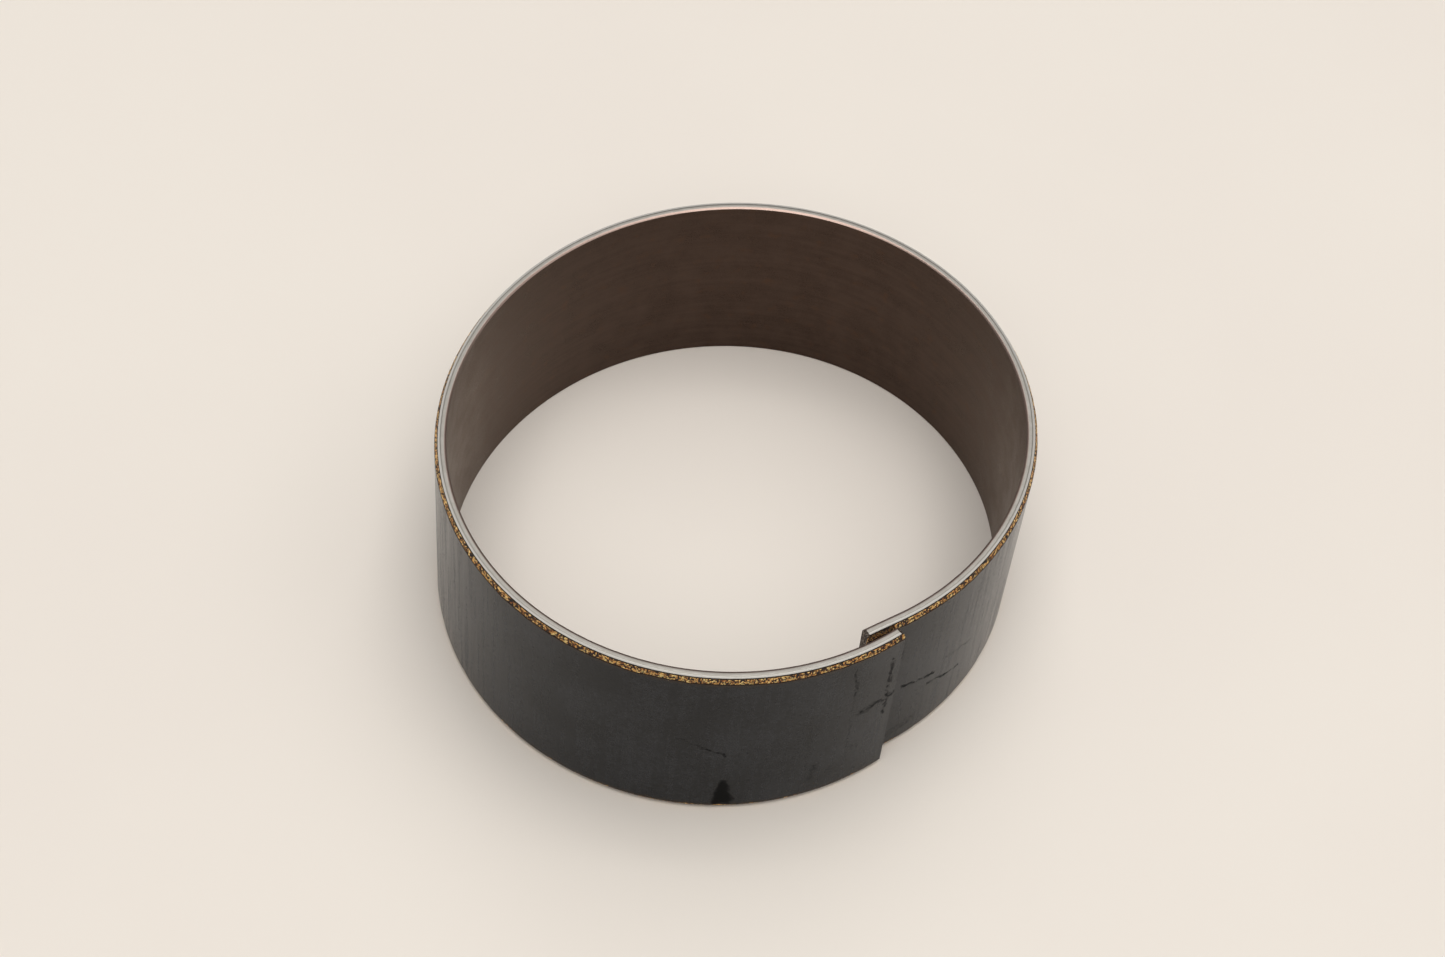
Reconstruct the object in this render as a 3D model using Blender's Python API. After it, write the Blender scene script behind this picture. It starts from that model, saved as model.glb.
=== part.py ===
"""Lapped split sleeve bushing: a wrapped strip of steel, sintered bronze and a dark sliding overlay.

The strip is bent into a ring whose two ends lap. The overlapping end lies outside the tucked end, so the ring
can spring open over a shaft and close again. The three layers follow one path, so they nest in each other.
Each layer is cut once, opposite the lap, where the ring bends most when it is sprung open: the two halves
turn about an upright axis there. Metres, +Z along the bore, the ring standing on Z = 0 about the Z axis.
"""

from math import ceil, cos, radians, sin

import bpy

# The ring in its free state
BORE_DIAMETER = 0.0492  # mean, between the unswept stretches of the strip
WIDTH = 0.0188  # along the bore
OUT_OF_ROUND = 0.00082  # the long axis stands this much outside the mean radius
LONG_AXIS_ANGLE = radians(62)  # seen from above, counterclockwise from +X

# The strip's layers, from the bore outwards
STEEL_THICKNESS = 0.00077
BRONZE_THICKNESS = 0.00018
OVERLAY_THICKNESS = 0.00003
BOND_LINE = 0.00001  # left free between two bonded layers

# The lap
OVERLAPPING_END_ANGLE = radians(-53.1)  # seen from above, counterclockwise from +X
OVERLAP = radians(6.8)  # how far the strip runs past a full turn
LAP_CLEARANCE = 0.0001  # between the two ends where they come closest
OVERLAPPING_END_SET = 0.00048  # how far this end springs in
OVERLAPPING_SET_LENGTH = radians(50)
TUCKED_SET_LENGTH = radians(86.5)  # this end dives in under the other over this stretch
TUCKED_STRAIGHT_LENGTH = radians(8)  # the bending rolls left this tip straight

# The rims: a shallow break inside, and a steep lead-in outside that bares the bronze
BORE_BREAK_DEPTH = 0.00026  # radially
BORE_BREAK_HEIGHT = 0.0001
LEAD_IN_INTO_STEEL = 0.00006  # radially, past the layers outside the steel
LEAD_IN_HEIGHT = 0.00054

# The flexure opposite the lap
FLEXURE_GAP = 0.0003  # between the two halves, along the strip

FACET = radians(2.6)  # the most that one flat facet turns

WALL = STEEL_THICKNESS + BRONZE_THICKNESS + OVERLAY_THICKNESS + 2 * BOND_LINE
BRONZE_INSIDE = STEEL_THICKNESS + BOND_LINE
OVERLAY_INSIDE = BRONZE_INSIDE + BRONZE_THICKNESS + BOND_LINE
RIM_EDGE = STEEL_THICKNESS - LEAD_IN_INTO_STEEL  # where the flat of the rim meets the lead-in
STRIP_TURN = radians(360) + OVERLAP
FLEXURE_TURN = STRIP_TURN / 2


def share_of(length, from_tip):
    """0 where an end's set begins, growing to 1 at its tip."""
    return max(0.0, 1 - from_tip / length) ** 2


def straightened(from_tip):
    """How far outside its arc the straight tip stands."""
    return BORE_DIAMETER / 4 * max(0.0, TUCKED_STRAIGHT_LENGTH - from_tip) ** 2


# At the tip of the overlapping end, the tucked end stands one wall and the lap clearance further in
SET_UNDER_TIP = OVERLAPPING_END_SET + WALL + LAP_CLEARANCE + straightened(OVERLAP)
TUCKED_END_SET = SET_UNDER_TIP / share_of(TUCKED_SET_LENGTH, OVERLAP)


def strip_angle(turn):
    """The direction, seen from above, of the point that far round the strip from its overlapping end."""
    return OVERLAPPING_END_ANGLE - turn


def strip_radius(turn, outwards=0.0):
    """The strip's bore face, or a face further outwards, at that turn."""
    angle = strip_angle(turn)
    oval = OUT_OF_ROUND * cos(2 * (angle - LONG_AXIS_ANGLE))
    overlapping_set = OVERLAPPING_END_SET * share_of(OVERLAPPING_SET_LENGTH, turn)
    left = STRIP_TURN - turn
    tucked_set = TUCKED_END_SET * share_of(TUCKED_SET_LENGTH, left) - straightened(left)
    return BORE_DIAMETER / 2 + oval - overlapping_set - tucked_set + outwards


def turns_between(start, end):
    """Evenly spaced turns from start to end, a facet apart or less."""
    facets = ceil((end - start) / FACET)
    return [start + (end - start) * i / facets for i in range(facets + 1)]


def polar_point(turn, outwards=0.0):
    radius = strip_radius(turn, outwards)
    return radius * cos(strip_angle(turn)), radius * sin(strip_angle(turn))


def ring_middle():
    """The middle of the ring's outline seen from above, which the ring is centred on."""
    outline = [polar_point(turn, WALL) for turn in turns_between(0, STRIP_TURN)]
    return [(min(values) + max(values)) / 2 for values in zip(*outline)]


MIDDLE = ring_middle()


def strip_point(turn, outwards=0.0):
    """A point of the strip seen from above, with the ring centred on the Z axis."""
    x, y = polar_point(turn, outwards)
    return x - MIDDLE[0], y - MIDDLE[1]


def lead_in_height(outwards):
    """How far in from a rim the lead-in cuts the strip, that far out from the bore."""
    return LEAD_IN_HEIGHT * (outwards - RIM_EDGE) / (WALL - RIM_EDGE)


def steel_section():
    """The steel's corners up its outer half, as distances out from the bore and in from a rim."""
    return [
        (0, BORE_BREAK_HEIGHT),
        (BORE_BREAK_DEPTH, 0),
        (RIM_EDGE, 0),
        (STEEL_THICKNESS, lead_in_height(STEEL_THICKNESS)),
    ]


def skin_section(inside, thickness):
    """The same for a layer outside the steel, which the lead-in cuts right across."""
    return [(x, lead_in_height(x)) for x in (inside, inside + thickness)]


def new_collection(name):
    collection = bpy.data.collections.new(name)
    bpy.context.scene.collection.children.link(collection)
    return collection


def new_curve(name, dimensions, points, closed, collection):
    """A curve of straight stretches through the points."""
    curve = bpy.data.curves.new(name, "CURVE")
    curve.dimensions = dimensions
    spline = curve.splines.new("POLY")
    spline.points.add(len(points) - 1)
    for spot, point in zip(spline.points, points):
        spot.co = (*point, 1)
    spline.use_cyclic_u = closed
    made = bpy.data.objects.new(name, curve)
    collection.objects.link(made)
    return made


def new_section(layer, corners, collection):
    """The layer's closed outline: its corners at the lower rim, then mirrored at the upper rim."""
    lower = [(-x, z, 0) for x, z in corners]
    upper = [(-x, WIDTH - z, 0) for x, z in reversed(corners)]
    section = new_curve(f"{layer}_section", "2D", lower + upper, True, collection)
    section.hide_render = True
    section.display_type = "WIRE"
    return section


def new_material(name, color, metallic, roughness):
    material = bpy.data.materials.new(name)
    material.use_nodes = True
    shader = material.node_tree.nodes["Principled BSDF"]
    shader.inputs["Base Color"].default_value = (*color, 1)
    shader.inputs["Metallic"].default_value = metallic
    shader.inputs["Roughness"].default_value = roughness
    return material


def new_half(name, section, start, end, parent, material, collection):
    """One layer's section swept along the strip from one turn to another, built about its parent's place."""
    hub = parent.location
    path = [strip_point(turn) for turn in turns_between(start, end)]
    points = [(x - hub.x, y - hub.y, 0) for x, y in path]
    half = new_curve(name, "3D", points, False, collection)
    half.parent = parent
    half.data.twist_mode = "Z_UP"
    half.data.bevel_mode = "OBJECT"
    half.data.bevel_object = section
    half.data.use_fill_caps = True
    half.data.materials.append(material)
    return half


def new_pivot(name, place, collection):
    pivot = bpy.data.objects.new(name, None)
    pivot.location = (*place, 0)
    collection.objects.link(pivot)
    return pivot


def build():
    for old in list(bpy.data.objects):
        bpy.data.objects.remove(old)
    ring = new_collection("lapped_split_sleeve_bushing")
    guides = new_collection("guides")

    half_gap = FLEXURE_GAP / BORE_DIAMETER  # half the gap over the radius, in radians
    overlapping_pivot = new_pivot("ring_axis", (0, 0), ring)
    tucked_pivot = new_pivot("flexure_axis", strip_point(FLEXURE_TURN, WALL / 2), ring)
    halves = (
        ("overlapping", 0, FLEXURE_TURN - half_gap, overlapping_pivot),
        ("tucked", FLEXURE_TURN + half_gap, STRIP_TURN, tucked_pivot),
    )
    bronze_section = skin_section(BRONZE_INSIDE, BRONZE_THICKNESS)
    overlay_section = skin_section(OVERLAY_INSIDE, OVERLAY_THICKNESS)
    layers = (
        ("steel_backing", steel_section(), (0.42, 0.4, 0.38), 1, 0.35),
        ("sintered_bronze", bronze_section, (0.45, 0.28, 0.12), 1, 0.5),
        ("sliding_overlay", overlay_section, (0.045, 0.047, 0.05), 0, 0.45),
    )
    for layer, corners, color, metallic, roughness in layers:
        section = new_section(layer, corners, guides)
        material = new_material(layer, color, metallic, roughness)
        for half, start, end, pivot in halves:
            new_half(f"{layer}_{half}", section, start, end, pivot, material, ring)


build()
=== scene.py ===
"""The looks of the lapped split sleeve bushing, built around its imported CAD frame.

The CAD cuts each of the strip's three layers in two, where the ring flexes. Here each layer is one unbroken
strip again, swept along the path that the CAD solids give, with broken edges, sheared ends, turned rims
and bronze grains. Every vertex also keeps its place on the strip laid out flat, in millimetres: how far
along from the overlapping end, how high, and how far out from the bore. The materials are drawn in that
place, so grain, scratches and streaks stay on the metal when the ring springs open. Every other length is
in metres, with +Z along the bore.
"""

from math import radians, tau

import bpy
import numpy as np
from mathutils import Matrix, Vector


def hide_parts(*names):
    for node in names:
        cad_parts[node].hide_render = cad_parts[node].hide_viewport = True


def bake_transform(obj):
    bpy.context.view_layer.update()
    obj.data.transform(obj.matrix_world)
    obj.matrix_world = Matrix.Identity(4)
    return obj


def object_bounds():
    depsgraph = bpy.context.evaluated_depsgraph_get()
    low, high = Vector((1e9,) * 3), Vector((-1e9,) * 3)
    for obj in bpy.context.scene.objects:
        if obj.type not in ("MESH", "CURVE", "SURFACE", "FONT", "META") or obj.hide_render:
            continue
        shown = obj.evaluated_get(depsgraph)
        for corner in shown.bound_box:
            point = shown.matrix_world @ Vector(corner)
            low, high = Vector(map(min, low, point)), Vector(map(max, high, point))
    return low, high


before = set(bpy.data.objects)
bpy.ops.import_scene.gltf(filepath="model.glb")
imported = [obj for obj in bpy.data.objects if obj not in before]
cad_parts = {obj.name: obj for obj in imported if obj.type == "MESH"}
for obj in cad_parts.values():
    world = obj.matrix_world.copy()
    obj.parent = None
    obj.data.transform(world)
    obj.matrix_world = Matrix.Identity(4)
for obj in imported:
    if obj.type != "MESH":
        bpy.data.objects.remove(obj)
cad_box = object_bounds()

MM = 0.001

# The camera: it looks down at the ring's middle from in front, a little rolled
CAMERA_ELEVATION = radians(51.56)
CAMERA_ROLL = radians(6.4)
CAMERA_DISTANCE = 228.4 * MM
CAMERA_AIM_OFFSET = Vector((-0.9, 1.44, 0)) * MM  # from the middle of the ring
CAMERA_LENS_MM = 65.7
SENSOR_WIDTH_MM = 36

# The studio
LIGHT_COLOUR = (1.0, 0.985, 0.965)
TENT_LIGHT = 0.2
BACKDROP_LIGHT = 0.75
SOFTBOX_SIZE = 1.43
SOFTBOX_DISTANCE = 2.0
FLOOR_SIZE = 6

# How the strip's meshes are divided
STEEL_STEP = 0.25 * MM  # along the strip
BRONZE_STEP = 0.0625 * MM
OVERLAY_STEP = 0.1 * MM
BEND_REACH = 45 * MM  # each way from the flexure, where two points on the path are found
FACET_TURN = radians(1)  # the bore's corners stand further apart than this, seen from the ring's middle
SHARP_TURN = radians(24)  # an edge that turns by more than this is drawn sharp
SAME_PLACE = 1e-7  # places nearer to each other than this are one

# Small shapes that the CAD leaves out
INSIDE_FACETS = 0.008 * MM  # the true round, held just inside the CAD's facets
ROLLING_WAVE = 0.012 * MM  # how far the strip's face wanders in from true
TOOL_STEP_AT = 0.5 * MM  # out from the bore, where the tool left the rim a little lower
TOOL_STEP = 0.006 * MM
TOOL_STEP_RUN = 0.02 * MM
END_BREAK_LENGTH = 0.24 * MM  # how far the sheared ends are dressed back at the rims
END_BREAK_HEIGHT = 0.15 * MM
SHEAR_RELIEF = 0.03 * MM  # how deep the torn steel of the sheared ends goes
SHEAR_EDGE = 0.15 * MM  # how far in from the strip's faces the tear takes to reach that depth
RAGGED_EDGE = 0.15 * MM  # how far the overlay's edge falls back from the lead-in
RAGGED_FADE = 1 * MM  # how far up the wall that is felt
GRAIN_PITCH = 0.14 * MM
GRAIN_SLOPE = 1.6  # how steeply a grain rises from the gap beside it
PORE_DEPTH = 0.035 * MM
PULLED_OUT = 0.27  # the share of the bronze grains that the tool pulled out

# Colours, in linear light
ROLLED_STEEL = (0.053, 0.033, 0.0245), (0.079, 0.051, 0.039)
RUST = (0.088, 0.046, 0.027)
TURNED_STEEL = (0.31, 0.297, 0.274), (0.42, 0.405, 0.38)
DULL_RIM = (0.28, 0.264, 0.238)
TOOL_STEP_LINE = (0.12, 0.108, 0.095)
WORN_BREAK = (0.34, 0.25, 0.215)
SHEARED_STEEL = (0.07, 0.055, 0.045), (0.30, 0.25, 0.21)
# Cut steel of the lead-ins, darkened past its own colour with painted shade for the steep lead-ins
BROKEN_THROUGH_STEEL_AND_SHADE = (0.026, 0.02, 0.016), (0.10, 0.083, 0.068)
PORE_FILLING = (0.014, 0.009, 0.007)
COPPER = (0.32, 0.13, 0.055)
GOLD = (0.82, 0.45, 0.15)
BRIGHT_GOLD = (1.0, 0.76, 0.33)
COAT = (0.0006, 0.0011, 0.0026), (0.0137, 0.0153, 0.0194)
THIN_COAT = (0.022, 0.0115, 0.0058)
SCUFF = (0.001, 0.001, 0.001)
BURNT = (0.0006, 0.0005, 0.0005)
TABLETOP = (0.79, 0.732, 0.67), (0.805, 0.75, 0.685)

PLACE = "strip_place"  # the vertex attribute that holds the place on the flat strip


# The strip's path and sections, read from the CAD solids


def corners_of(node):
    """The distinct corners of a CAD node, one row each, rounded to a tenth of a micrometre."""
    corners = np.array([vertex.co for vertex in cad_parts[node].data.vertices])
    return np.unique(np.round(corners, 7), axis=0)


def bore_corners(node):
    """Where a steel half's bore face turns from one facet to the next, in order, clockwise from above."""
    corners = corners_of(node)
    angle = np.arctan2(corners[:, 1], corners[:, 0])
    middle = np.angle(np.exp(1j * angle).sum())
    turn = np.angle(np.exp(1j * (middle - angle)))
    order = np.argsort(turn)
    corners, turn = corners[order], turn[order]
    steps = np.flatnonzero(np.diff(turn) > FACET_TURN) + 1
    nearest = [s[np.hypot(s[:, 0], s[:, 1]).argmin()] for s in np.split(corners, steps)]
    return np.array(nearest)[:, :2]


def section_of(node, bore):
    """The node's section: the distinct pairs of distance out from the bore and height."""
    corners = corners_of(node)
    apart = np.hypot(*(corners[:, None, :2] - bore[None]).transpose(2, 0, 1))
    pairs = np.stack([apart.min(1), corners[:, 2]], 1)
    return np.unique(np.round(pairs, 6), axis=0)


def lower_rim(corners):
    """The corners of a section at its lower rim, from the bore outwards."""
    return corners[corners[:, 1] < TOP / 2]


class Path:
    """The bore face's line seen from above, as a smooth curve through the CAD's corners."""

    def __init__(self, corners):
        steps = np.hypot(*np.diff(corners, axis=0).T)
        self.knots = np.concatenate([[0], np.cumsum(steps)])
        self.corners = corners
        self.slopes = self.slopes_at_knots()
        self.length = self.knots[-1]

    def slopes_at_knots(self):
        """The slopes of the natural cubic spline through the corners."""
        count = len(self.knots)
        step = np.diff(self.knots)
        rise = np.diff(self.corners, axis=0) / step[:, None]
        system, wanted = np.zeros((count, count)), np.zeros((count, 2))
        system[0, :2] = system[-1, -1:-3:-1] = 2, 1
        wanted[0], wanted[-1] = 3 * rise[0], 3 * rise[-1]
        for i in range(1, count - 1):
            before, after = step[i - 1], step[i]
            system[i, i - 1 : i + 2] = after, 2 * (before + after), before
            wanted[i] = 3 * (after * rise[i - 1] + before * rise[i])
        return np.linalg.solve(system, wanted)

    def at(self, along):
        """The points at those distances, and the outward directions there."""
        i = np.clip(np.searchsorted(self.knots, along) - 1, 0, len(self.knots) - 2)
        step = (self.knots[i + 1] - self.knots[i])[:, None]
        t = (along - self.knots[i])[:, None] / step
        start, end = self.corners[i], self.corners[i + 1]
        leave, reach = self.slopes[i] * step, self.slopes[i + 1] * step
        point = (
            start * (2 * t**3 - 3 * t**2 + 1)
            + leave * (t**3 - 2 * t**2 + t)
            + end * (3 * t**2 - 2 * t**3)
            + reach * (t**3 - t**2)
        )
        heading = (
            (end - start) * (6 * t - 6 * t**2)
            + leave * (3 * t**2 - 4 * t + 1)
            + reach * (3 * t**2 - 2 * t)
        )
        heading /= np.linalg.norm(heading, axis=1)[:, None]
        return point, np.stack([-heading[:, 1], heading[:, 0]], 1)


overlapping_bore = bore_corners("steel_backing_overlapping")
tucked_bore = bore_corners("steel_backing_tucked")
bore_line = np.concatenate([overlapping_bore[:-1], tucked_bore])
path = Path(bore_line)
FLEXURE_ALONG = path.knots[len(overlapping_bore) - 1]

TOP = cad_box[1].z
steel_corners = section_of("steel_backing_overlapping", overlapping_bore)
bronze_corners = section_of("sintered_bronze_overlapping", overlapping_bore)
overlay_corners = section_of("sliding_overlay_overlapping", overlapping_bore)


# The shape of the strips


def waves(seed, count, shortest, longest):
    """A smooth field from -1 to 1 over the flat strip: a sum of plane waves."""
    rng = np.random.default_rng(seed)
    length = rng.uniform(shortest, longest, count)
    heading = rng.uniform(0, tau, count)
    phase = rng.uniform(0, tau, count)
    share = length / length.sum()

    def field(along, up):
        travel = np.multiply.outer(along, np.cos(heading)) + np.multiply.outer(up, np.sin(heading))
        turns = travel / length
        return (share * np.sin(tau * turns + phase)).sum(-1)

    return field


rolled = waves(seed=3, count=9, shortest=6 * MM, longest=26 * MM)
ragged = waves(seed=5, count=24, shortest=0.35 * MM, longest=2.6 * MM)
torn = waves(seed=8, count=30, shortest=0.25 * MM, longest=1.4 * MM)


def rows_between(low, high, spacing):
    """Evenly spaced numbers from low to high, no further apart than the spacing."""
    return np.linspace(low, high, max(1, int(np.ceil((high - low) / spacing - 1e-6))) + 1)


def joined(*runs):
    """Rows of numbers end to end, without the repeats where they meet."""
    return np.unique(np.round(np.concatenate(runs), 9))


def height_shares(edge, rows, coarse):
    """Shares of a strip's height: that many rows within the edge of each rim, and coarser ones between."""
    edge, coarse = edge / TOP, coarse / TOP
    return joined(
        rows_between(0, edge, edge / rows),
        rows_between(edge, 1 - edge, coarse),
        rows_between(1 - edge, 1, edge / rows),
    )


def lattice(along, out, rim_height, share):
    """Places on the surface of a strip, and the quads of each of its six sides.

    The strip is a block of cells along x out x share. Its lower rim has the height rim_height at each out,
    and its upper rim mirrors that. share runs from 0 at the lower rim to 1 at the upper.
    """
    shape = len(along), len(out), len(share)
    i, j, k = np.indices(shape)
    surface = np.zeros(shape, bool)
    for index, size in zip((i, j, k), shape):
        surface |= (index == 0) | (index == size - 1)
    number = np.full(shape, -1)
    number[surface] = np.arange(surface.sum())
    low = rim_height[j]
    up = low + (TOP - 2 * low) * share[k]
    places = np.stack([along[i], up, out[j]], -1)[surface]

    def face(sheet, flip):
        corners = [sheet[:-1, :-1], sheet[1:, :-1], sheet[1:, 1:], sheet[:-1, 1:]]
        return np.stack(corners[::-1] if flip else corners, -1).reshape(-1, 4)

    sides = {
        "start": face(number[0], True),
        "end": face(number[-1], False),
        "inner": face(number[:, 0], False),
        "outer": face(number[:, -1], True),
        "lower": face(number[:, :, 0], True),
        "upper": face(number[:, :, -1], False),
    }
    return places, sides


def dressed(places, step):
    """Draws the strip's ends back near the rims, as a file would, without passing the next station."""
    along, up = places[:, 0], places[:, 1]
    from_rim = np.minimum(up, TOP - up)
    back = min(END_BREAK_LENGTH, 0.96 * step) * np.clip(1 - from_rim / END_BREAK_HEIGHT, 0, 1)
    places[:, 0] = np.where(along < step / 2, along + back, along)
    places[:, 0] = np.where(along > path.length - step / 2, along - back, places[:, 0])
    return places


def in_the_ring(places):
    """Places on the flat strip, as points in the bent ring."""
    point, outwards = path.at(places[:, 0])
    shift = -INSIDE_FACETS - ROLLING_WAVE * (0.5 + 0.5 * rolled(places[:, 0], places[:, 1]))
    return np.column_stack([point + outwards * (places[:, 2] + shift)[:, None], places[:, 1]])


def new_piece(name, places, sides, looks, marks=None):
    """The mesh of a strip. looks gives each side's material, and marks any more vertex attributes."""
    mesh = bpy.data.meshes.new(name)
    mesh.from_pydata(in_the_ring(places).tolist(), [], np.concatenate(list(sides.values())).tolist())
    materials = list(dict.fromkeys(looks.values()))
    for material in materials:
        mesh.materials.append(material)
    slots = [np.full(len(quads), materials.index(looks[side])) for side, quads in sides.items()]
    mesh.polygons.foreach_set("material_index", np.concatenate(slots).astype(np.int32))
    kept = mesh.attributes.new(PLACE, "FLOAT_VECTOR", "POINT")
    kept.data.foreach_set("vector", (places / MM).astype(np.float32).ravel())
    for mark, values in (marks or {}).items():
        mesh.attributes.new(mark, "FLOAT", "POINT").data.foreach_set("value", values.astype(np.float32))
    mesh.shade_smooth()
    mesh.set_sharp_from_angle(angle=SHARP_TURN)
    piece = bpy.data.objects.new(name, mesh)
    bpy.context.scene.collection.objects.link(piece)
    return piece


def bend_with_ring(piece, slot, *nodes):
    """The piece stands for its two CAD halves, which are hidden, and its transform is baked into its mesh.
    """
    reach = np.array([FLEXURE_ALONG - BEND_REACH, FLEXURE_ALONG + BEND_REACH])
    start, end = path.at(reach)[0]
    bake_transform(piece)
    places = np.empty(len(piece.data.vertices) * 3, np.float32)
    piece.data.attributes[PLACE].data.foreach_get("vector", places)
    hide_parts(*nodes)


def grains(places):
    """How far each place is from the gap between two grains, 0 to 1, and its own grain's chance number.

    Each cube of one grain pitch has one grain's middle in it, and a place belongs to the nearest middle.
    The chance numbers, from 0 to 1, tell the grains apart.
    """
    rng = np.random.default_rng(11)
    table = rng.random((8191, 4))
    scatter = np.array([73856093, 19349663, 83492791])  # spreads neighbouring cubes over the table
    cell = np.floor(places / GRAIN_PITCH).astype(np.int64)
    nearest = np.full(len(places), 9.0)  # in grain pitches, more than any place is from a middle
    second = nearest.copy()
    chance = np.zeros(len(places))
    for offset in np.ndindex(3, 3, 3):
        near = cell + np.array(offset) - 1
        key = (near @ scatter) % len(table)
        apart = np.linalg.norm(places / GRAIN_PITCH - near - table[key, :3], axis=1)
        closer = apart < nearest
        second = np.where(closer, nearest, np.minimum(second, apart))
        nearest = np.where(closer, apart, nearest)
        chance = np.where(closer, table[key, 3], chance)
    return np.clip((second - nearest) * GRAIN_SLOPE, 0, 1), chance


# Materials


class Look:
    """A Principled material whose patterns are drawn in the place on the flat strip, in millimetres."""

    def __init__(self, name, **constants):
        self.material = bpy.data.materials.new(name)
        self.material.use_nodes = True
        self.tree = self.material.node_tree
        self.shader = self.tree.nodes["Principled BSDF"]
        for socket, value in constants.items():
            self.shader.inputs[socket.replace("_", " ")].default_value = value
        self.place = self.attribute(PLACE).outputs["Vector"]

    def attribute(self, name):
        node = self.tree.nodes.new("ShaderNodeAttribute")
        node.attribute_name = name
        return node

    def fill(self, socket, value):
        if isinstance(value, bpy.types.NodeSocket):
            self.tree.links.new(value, socket)
        else:
            socket.default_value = value

    def set(self, socket, value):
        self.fill(self.shader.inputs[socket], value)

    def math(self, operation, *values, clamp=False):
        node = self.tree.nodes.new("ShaderNodeMath")
        node.operation = operation
        node.use_clamp = clamp
        for socket, value in zip(node.inputs, values):
            self.fill(socket, value)
        return node.outputs[0]

    def axes(self):
        """The distance along, the height and the distance out."""
        node = self.tree.nodes.new("ShaderNodeSeparateXYZ")
        self.tree.links.new(self.place, node.inputs[0])
        return node.outputs

    def stretched(self, along, up, out):
        """The place with each of its axes scaled."""
        node = self.tree.nodes.new("ShaderNodeVectorMath")
        node.operation = "MULTIPLY"
        self.tree.links.new(self.place, node.inputs[0])
        node.inputs[1].default_value = (along, up, out)
        return node.outputs[0]

    def noise(self, scale, detail=3, roughness=0.55, vector=None):
        """Noise about 0.5, with features about 1 / scale millimetres wide."""
        node = self.tree.nodes.new("ShaderNodeTexNoise")
        node.inputs["Scale"].default_value = scale
        node.inputs["Detail"].default_value = detail
        node.inputs["Roughness"].default_value = roughness
        self.tree.links.new(vector or self.place, node.inputs["Vector"])
        return node.outputs["Fac"]

    def between(self, value, low, high, start=0.0, end=1.0):
        """The value's rise from low to high, smoothed, as a number from start to end."""
        node = self.tree.nodes.new("ShaderNodeMapRange")
        node.interpolation_type = "SMOOTHSTEP"
        for name, number in zip(("From Min", "From Max", "To Min", "To Max"), (low, high, start, end)):
            node.inputs[name].default_value = number
        self.fill(node.inputs["Value"], value)
        return node.outputs[0]

    def mixed(self, share, first, second):
        node = self.tree.nodes.new("ShaderNodeMix")
        node.data_type = "RGBA"
        self.fill(node.inputs[0], share)
        for socket, colour in zip(node.inputs[6:8], (first, second)):
            self.fill(socket, colour if isinstance(colour, bpy.types.NodeSocket) else (*colour, 1))
        return node.outputs[2]

    def bump(self, height, distance):
        node = self.tree.nodes.new("ShaderNodeBump")
        node.inputs["Distance"].default_value = distance
        self.tree.links.new(height, node.inputs["Height"])
        self.tree.links.new(node.outputs["Normal"], self.shader.inputs["Normal"])

    def line(self, along, up, start, end, width):
        """1 on the line between two places (along, up), falling to 0 at that width to each side of it."""
        run, rise = end[0] - start[0], end[1] - start[1]
        square = run * run + rise * rise
        dx, dy = self.math("SUBTRACT", along, start[0]), self.math("SUBTRACT", up, start[1])
        share = self.math("MULTIPLY", dx, run / square)
        share = self.math("MULTIPLY_ADD", dy, rise / square, share, clamp=True)
        off_x = self.math("SUBTRACT", dx, self.math("MULTIPLY", share, run))
        off_y = self.math("SUBTRACT", dy, self.math("MULTIPLY", share, rise))
        square_off = self.math("MULTIPLY_ADD", off_x, off_x, self.math("MULTIPLY", off_y, off_y))
        return self.between(self.math("SQRT", square_off), 0.0, width, 1.0, 0.0)


def rolled_steel():
    """Brown-grey steel, as it came off the rolls, mottled and faintly streaked along the strip."""
    look = Look("rolled_steel", Metallic=0.85, IOR=1.4, Specular_Tint=(1.0, 0.93, 0.87, 1))
    blotches = look.noise(0.35, 5, 0.6)
    drawn = look.noise(1.0, 3, vector=look.stretched(0.1, 2.2, 1))
    fine = look.noise(8, 3)
    tone = look.math("MULTIPLY_ADD", drawn, 0.22, look.math("MULTIPLY", blotches, 0.5))
    tone = look.math("MULTIPLY_ADD", fine, 0.28, tone)
    steel = look.mixed(look.between(tone, 0.36, 0.64), *ROLLED_STEEL)
    rust = look.between(look.noise(0.8, 3), 0.55, 0.75, 0.0, 0.5)
    look.set("Base Color", look.mixed(rust, steel, RUST))
    look.set("Roughness", look.between(look.math("ADD", blotches, fine), 0.75, 1.25, 0.27, 0.40))
    look.bump(look.math("ADD", drawn, fine), 0.003 * MM)
    return look.material


def turned_steel():
    """The rims: grey steel with rings from the tool, duller inside its step, brown on the bore's break."""
    look = Look("turned_steel", Metallic=1.0)
    step = TOOL_STEP_AT / MM
    _, _, out = look.axes()
    rings = look.noise(1.0, 2, vector=look.stretched(0.02, 0, 26))
    wear = look.noise(1.3, 3)
    wandering = look.math("MULTIPLY_ADD", wear, 0.08, out)
    shine = look.mixed(look.between(rings, 0.3, 0.7), *TURNED_STEEL)
    inside_step = look.between(wandering, step + 0.02, step + 0.08, 1.0, 0.0)
    dull = look.math("MULTIPLY", inside_step, look.between(wear, 0.3, 0.7, 0.6, 1.0))
    rim = look.mixed(dull, shine, DULL_RIM)
    off_step = look.math("ABSOLUTE", look.math("SUBTRACT", wandering, step + 0.03))
    rim = look.mixed(look.between(off_step, 0.01, 0.05, 0.6, 0.0), rim, TOOL_STEP_LINE)
    on_break = look.between(wandering, 0.16, 0.3, 1.0, 0.0)
    look.set("Base Color", look.mixed(on_break, rim, WORN_BREAK))
    look.set("Roughness", look.between(rings, 0.3, 0.7, 0.4, 0.28))
    look.bump(rings, 0.002 * MM)
    return look.material


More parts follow.
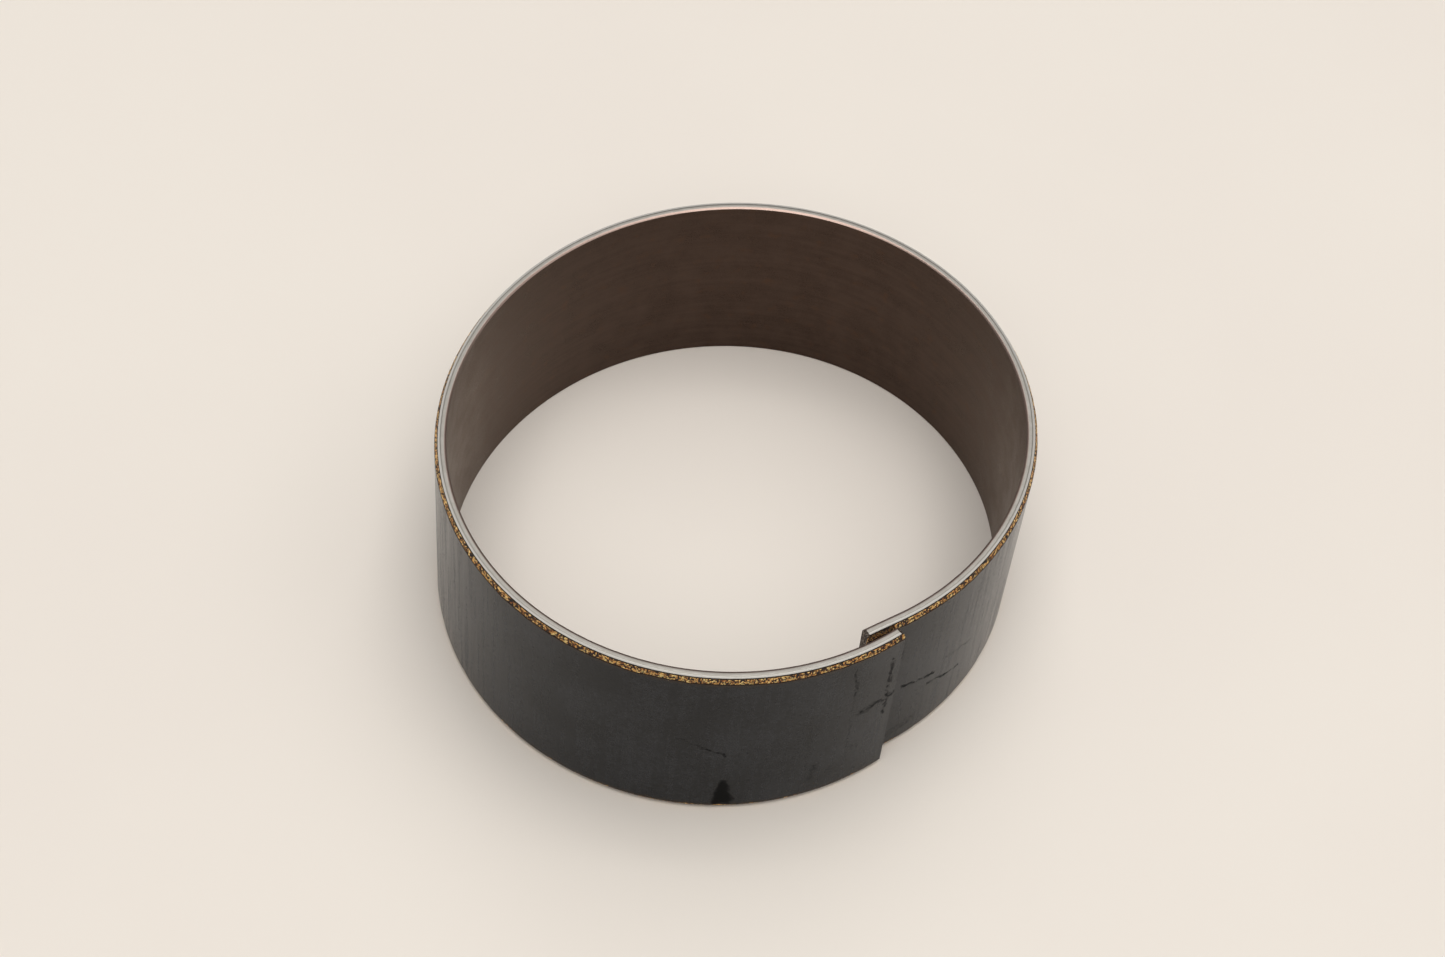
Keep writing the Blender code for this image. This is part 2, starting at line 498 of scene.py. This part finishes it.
def torn_steel(name, dark, glint):
    """Steel that the tool or the shear broke through: dull and streaked, with glints. The dark colour given
    for the lead-ins also holds painted shade.
    """
    look = Look(name, Metallic=0.85)
    streaks = look.noise(6, 4, vector=look.stretched(1, 0.6, 1.5))
    look.set("Base Color", look.mixed(look.between(streaks, 0.42, 0.66), dark, glint))
    look.set("Roughness", look.between(streaks, 0.35, 0.65, 0.6, 0.42))
    look.bump(streaks, 0.02 * MM)
    return look.material


def sintered_bronze():
    """Cut bronze grains, from copper to bright gold, in the dark filling of the pores between them."""
    look = Look("cut_bronze_grains")
    edge = look.attribute("grain").outputs["Fac"]
    chance = look.attribute("grain_chance").outputs["Fac"]
    smeared = look.noise(9, 2)
    bare = look.between(look.math("MULTIPLY_ADD", smeared, 0.8, edge), 0.52, 0.74)
    bare = look.math("MULTIPLY", bare, look.between(chance, PULLED_OUT - 0.03, PULLED_OUT + 0.03))
    gold = look.mixed(look.between(chance, 0.3, 0.55), COPPER, GOLD)
    gold = look.mixed(look.between(chance, 0.6, 0.9), gold, BRIGHT_GOLD)
    look.set("Base Color", look.mixed(bare, PORE_FILLING, gold))
    look.set("Metallic", bare)
    look.set("Roughness", look.between(bare, 0, 1, 0.75, 0.36))
    return look.material


# Rubs and scratches on the overlay: from and to (along, up), the width to each side, and how dark, 0 to 1
MARKS = (
    ((19.1, 11.4), (17.8, 10.2), 0.20, 0.4),
    ((17.8, 10.2), (15.9, 9.1), 0.24, 0.7),
    ((15.9, 9.1), (14.1, 8.2), 0.32, 1.0),
    ((14.1, 8.2), (12.8, 7.8), 0.20, 0.5),
    ((7.6, 12.5), (7.3, 2.9), 0.32, 0.45),
    ((4.36, 17.2), (4.0, 13.2), 0.36, 0.7),
    ((4.0, 13.2), (3.93, 3.4), 0.32, 0.45),
    ((0.84, 16.0), (0.85, 8.4), 0.46, 0.9),
    ((3.3, 10.3), (0.0, 10.8), 0.85, 0.9),
    ((6.6, 4.6), (6.9, 2.7), 1.1, 0.6),
    ((5.1, 3.4), (5.1, 3.0), 1.1, 0.5),
    ((3.3, 5.5), (3.3, 5.1), 1.1, 0.5),
    ((152.05, 8.7), (148.6, 7.7), 0.36, 1.0),
    ((149.0, 6.5), (145.1, 5.1), 0.36, 0.9),
    ((147.4, 8.7), (143.9, 7.5), 0.36, 0.5),
    ((152.6, 2.0), (150.2, 2.5), 1.3, 0.5),
    ((153.0, 14.3), (153.0, 13.6), 0.8, 0.7),
)

# The burnt smear over the lower rim
SMEAR_ALONG, SMEAR_FOOT, SMEAR_TOP = 14.0, 0.7, 4.9
SMEAR_HALF_WIDTH, SMEAR_TOP_HALF_WIDTH = 0.85, 0.3


def sliding_overlay():
    """The dark satin coat, thin at the lead-ins, scuffed as it was fitted, and burnt over the lower rim."""
    look = Look("satin_overlay", IOR=1.30)
    along, up, _ = look.axes()
    clouds = look.noise(0.16, 3)
    fine = look.noise(4, 5, 0.7)
    speckle = look.noise(3.5, 5, 0.75)
    drawn = look.noise(1.0, 3, vector=look.stretched(2.2, 0.09, 1))

    # Marks wander off their lines and skip, as a rub or a scratch does
    wander = look.math("MULTIPLY_ADD", look.noise(0.9, 4, 0.6), 1.1, -0.55)
    drift = look.math("MULTIPLY_ADD", look.noise(1.3, 4, 0.6), 1.1, -0.55)
    along_mark, up_mark = look.math("ADD", along, wander), look.math("ADD", up, drift)
    skips = look.between(look.noise(3.5, 4, 0.7), 0.38, 0.56, 0.15, 1.0)
    scuffs = None
    for start, end, width, dark in MARKS:
        mark = look.math("MULTIPLY", look.line(along_mark, up_mark, start, end, width), dark)
        scuffs = look.math("MAXIMUM", scuffs, mark) if scuffs else mark
    scuffs = look.math("MULTIPLY", scuffs, skips)

    aside = look.math("ABSOLUTE", look.math("SUBTRACT", along_mark, SMEAR_ALONG))
    wide = look.between(up, 1.3, SMEAR_TOP, SMEAR_HALF_WIDTH, SMEAR_TOP_HALF_WIDTH)
    smear = look.between(look.math("SUBTRACT", aside, wide), -0.3, 0.3, 1.0, 0.0)
    below_top = look.between(up_mark, SMEAR_TOP - 0.9, SMEAR_TOP + 0.1, 1.0, 0.0)
    above_foot = look.between(up_mark, SMEAR_FOOT - 0.3, SMEAR_FOOT + 0.3, 0.25, 1.0)
    smear = look.math("MULTIPLY", look.math("MULTIPLY", smear, below_top), above_foot)

    tone = look.math("MULTIPLY_ADD", drawn, 0.17, look.math("MULTIPLY", clouds, 0.33))
    tone = look.math("MULTIPLY_ADD", speckle, 0.5, tone)
    coat = look.mixed(look.between(tone, 0.43, 0.57), *COAT)
    from_rim = look.math("MINIMUM", up, look.math("SUBTRACT", TOP / MM, up))
    thin = look.between(look.math("MULTIPLY_ADD", look.noise(3, 3), 0.7, from_rim), 0.95, 1.3, 0.9, 0.0)
    coat = look.mixed(thin, coat, THIN_COAT)
    coat = look.mixed(look.math("MULTIPLY", scuffs, 0.9), coat, SCUFF)
    look.set("Base Color", look.mixed(smear, coat, BURNT))
    satin = look.between(look.math("ADD", fine, drawn), 0.8, 1.2, 0.14, 0.3)
    worn = look.math("MULTIPLY", look.math("MAXIMUM", smear, scuffs), 0.9)
    look.set("Roughness", look.math("MAXIMUM", satin, worn))
    look.bump(fine, 0.014 * MM)
    return look.material


def tabletop():
    """A pale, even sheet."""
    look = Look("tabletop", Roughness=0.7, Specular_IOR_Level=0.2)
    where = look.tree.nodes.new("ShaderNodeTexCoord").outputs["Object"]
    clouds = look.noise(14, 3, vector=where)
    look.set("Base Color", look.mixed(look.between(clouds, 0.35, 0.65), *TABLETOP))
    return look.material


# The pieces


def steel_backing():
    """The steel strip: rolled bore, turned rims, torn lead-ins and ends."""
    inner, rim_in, rim_out, outer = lower_rim(steel_corners)
    out = joined(
        rows_between(inner[0], rim_in[0], 0.05 * MM),
        rows_between(rim_in[0], TOOL_STEP_AT, 0.13 * MM),
        rows_between(TOOL_STEP_AT + TOOL_STEP_RUN, rim_out[0], 0.1 * MM),
        rows_between(rim_out[0], outer[0], 0.03 * MM),
    )
    rim = (
        (TOOL_STEP_AT, 0),
        (TOOL_STEP_AT + TOOL_STEP_RUN, TOOL_STEP),
        (rim_out[0], TOOL_STEP),
        (outer[0], outer[1]),
    )
    rim_height = np.interp(out, *np.array(rim).T)
    rim_height += inner[1] * np.clip(1 - out / rim_in[0], 0, 1) ** 2  # the bore's break, worn round
    along = rows_between(0, path.length, STEEL_STEP)
    places, sides = lattice(along, out, rim_height, height_shares(END_BREAK_HEIGHT, 2, 0.4 * MM))
    at_end = (places[:, 0] < SAME_PLACE) | (places[:, 0] > path.length - SAME_PLACE)
    way_in = np.where(places[:, 0] < path.length / 2, 1, -1)
    edge = np.minimum(places[:, 2], outer[0] - places[:, 2]) / SHEAR_EDGE
    relief = SHEAR_RELIEF * (0.5 + 0.5 * torn(places[:, 1], places[:, 2])) * np.clip(edge, 0.15, 1)
    places = dressed(places, along[1])
    places[:, 0] += np.where(at_end, way_in * relief, 0)

    # The rims are split where the turned flat meets the lead-in
    for side in ("lower", "upper"):
        quads = sides.pop(side)
        on_flat = places[quads, 2].mean(1) < rim_out[0]
        sides[side + "_rim"] = quads[on_flat]
        sides[side + "_lead_in"] = quads[~on_flat]

    sheared = torn_steel("sheared_steel", *SHEARED_STEEL)
    # Near black: the lead-ins' cut steel, with painted shade in its colour
    broken_through_and_shade = torn_steel("broken_through_steel_and_painted_shade", *BROKEN_THROUGH_STEEL_AND_SHADE)
    looks = {"start": sheared, "end": sheared, "inner": rolled_steel(), "outer": broken_through_and_shade}
    looks |= dict.fromkeys(("lower_rim", "upper_rim"), turned_steel())
    looks |= dict.fromkeys(("lower_lead_in", "upper_lead_in"), broken_through_and_shade)
    piece = new_piece("steel_backing", places, sides, looks)
    bend_with_ring(piece, "steel_backing", "steel_backing_overlapping", "steel_backing_tucked")


def bronze_layer():
    """The sintered bronze, whose cut grains and pores show on the lead-ins and the ends."""
    inner, outer = lower_rim(steel_corners)[-1], lower_rim(bronze_corners)[-1]
    columns = 8
    out = np.linspace(inner[0], outer[0], columns + 1)
    rim_height = np.linspace(inner[1], outer[1], columns + 1)
    along = rows_between(0, path.length, BRONZE_STEP)
    places, sides = lattice(along, out, rim_height, height_shares(2 * RAGGED_EDGE, 3, 4 * MM))

    # The lead-in is pitted between the grains, and where a grain was pulled out
    grain, chance = grains(places)
    gaps = np.clip(1 - 2.2 * grain, 0, 1)
    holes = np.clip((PULLED_OUT - chance) * 8, 0, 1)
    pore = PORE_DEPTH * gaps + PORE_DEPTH * holes
    way_in = np.where(places[:, 1] < TOP / 2, 1, -1)
    from_rim = np.minimum(places[:, 1], TOP - places[:, 1])
    on_lead_in = from_rim < np.interp(places[:, 2], out, rim_height) + SAME_PLACE
    between_corners = (places[:, 2] > inner[0] + SAME_PLACE) & (places[:, 2] < outer[0] - SAME_PLACE)
    places[:, 1] += np.where(on_lead_in & between_corners, pore * way_in, 0)

    looks = dict.fromkeys(sides, sintered_bronze())
    piece = new_piece("sintered_bronze", places, sides, looks, {"grain": grain, "grain_chance": chance})
    bend_with_ring(piece, "sintered_bronze", "sintered_bronze_overlapping", "sintered_bronze_tucked")


def overlay_coat():
    """The overlay, as thin as paper, with a ragged edge where the lead-in was cut through it."""
    inner, outer = lower_rim(bronze_corners)[-1], lower_rim(overlay_corners)[-1]
    out = np.array([inner[0], outer[0]])
    rim_height = np.array([inner[1], outer[1]])
    along = rows_between(0, path.length, OVERLAY_STEP)
    places, sides = lattice(along, out, rim_height, height_shares(RAGGED_FADE, 5, 1.2 * MM))
    from_rim = np.minimum(places[:, 1], TOP - places[:, 1])
    upper = places[:, 1] > TOP / 2
    apart = 40 * MM  # keeps the two rims' edges from being alike
    cut_back = np.clip(ragged(places[:, 0], apart * upper) * 2.2, 0, 1)
    fallen = RAGGED_EDGE * cut_back * np.clip(1 - (from_rim - inner[1]) / RAGGED_FADE, 0, 1)
    places[:, 1] += np.where(upper, -fallen, fallen)
    looks = dict.fromkeys(sides, sliding_overlay())
    piece = new_piece("sliding_overlay", places, sides, looks)
    bend_with_ring(piece, "sliding_overlay", "sliding_overlay_overlapping", "sliding_overlay_tucked")


# Floor, light and camera


def floor():
    bpy.ops.mesh.primitive_plane_add(size=FLOOR_SIZE, location=(0, 0, 0))
    plane = bpy.context.object
    plane.name = "tabletop"
    plane.data.materials.append(tabletop())


def softbox(name, azimuth, elevation, power):
    """A square soft box that faces the ring. Azimuth 0 is in front, and 90 degrees to the right."""
    light = bpy.data.lights.new(name, "AREA")
    light.size = SOFTBOX_SIZE
    light.energy = power
    light.color = LIGHT_COLOUR
    away = Matrix.Rotation(azimuth, 3, "Z") @ Matrix.Rotation(-elevation, 3, "X") @ Vector((0, -1, 0))
    box = bpy.data.objects.new(name, light)
    box.location = ring_middle + away * SOFTBOX_DISTANCE
    box.rotation_euler = away.to_track_quat("Z", "Y").to_euler()
    bpy.context.scene.collection.objects.link(box)


def surroundings():
    """A dim tent all round, which the camera sees as a pale backdrop."""
    world = bpy.data.worlds.new("studio")
    world.use_nodes = True
    tree = world.node_tree
    background = tree.nodes["Background"]
    background.inputs["Color"].default_value = (*LIGHT_COLOUR, 1)
    seen = tree.nodes.new("ShaderNodeLightPath").outputs["Is Camera Ray"]
    strength = tree.nodes.new("ShaderNodeMapRange")
    strength.inputs["To Min"].default_value = TENT_LIGHT
    strength.inputs["To Max"].default_value = BACKDROP_LIGHT
    tree.links.new(seen, strength.inputs["Value"])
    tree.links.new(strength.outputs[0], background.inputs["Strength"])
    bpy.context.scene.world = world


def camera():
    """Looks down on the ring from in front, as the part is first seen."""
    lens = bpy.data.cameras.new("camera")
    lens.lens = CAMERA_LENS_MM
    lens.sensor_width = SENSOR_WIDTH_MM
    lens.clip_start = 1 * MM
    turn = Matrix.Rotation(radians(90) - CAMERA_ELEVATION, 3, "X") @ Matrix.Rotation(CAMERA_ROLL, 3, "Z")
    seen_from = bpy.data.objects.new("camera", lens)
    seen_from.location = ring_middle + CAMERA_AIM_OFFSET + turn @ Vector((0, 0, CAMERA_DISTANCE))
    seen_from.rotation_euler = turn.to_euler()
    bpy.context.scene.collection.objects.link(seen_from)
    bpy.context.scene.camera = seen_from


ring_middle = (cad_box[0] + cad_box[1]) / 2
steel_backing()
bronze_layer()
overlay_coat()
floor()
surroundings()
softbox("overhead_softbox", azimuth=0, elevation=radians(90), power=16.5)
softbox("front_softbox", azimuth=0, elevation=radians(58), power=13)
softbox("right_softbox", azimuth=radians(90), elevation=radians(58), power=6)
softbox("back_softbox", azimuth=radians(180), elevation=radians(58), power=9)
camera()
bpy.context.scene.view_settings.view_transform = "Standard"
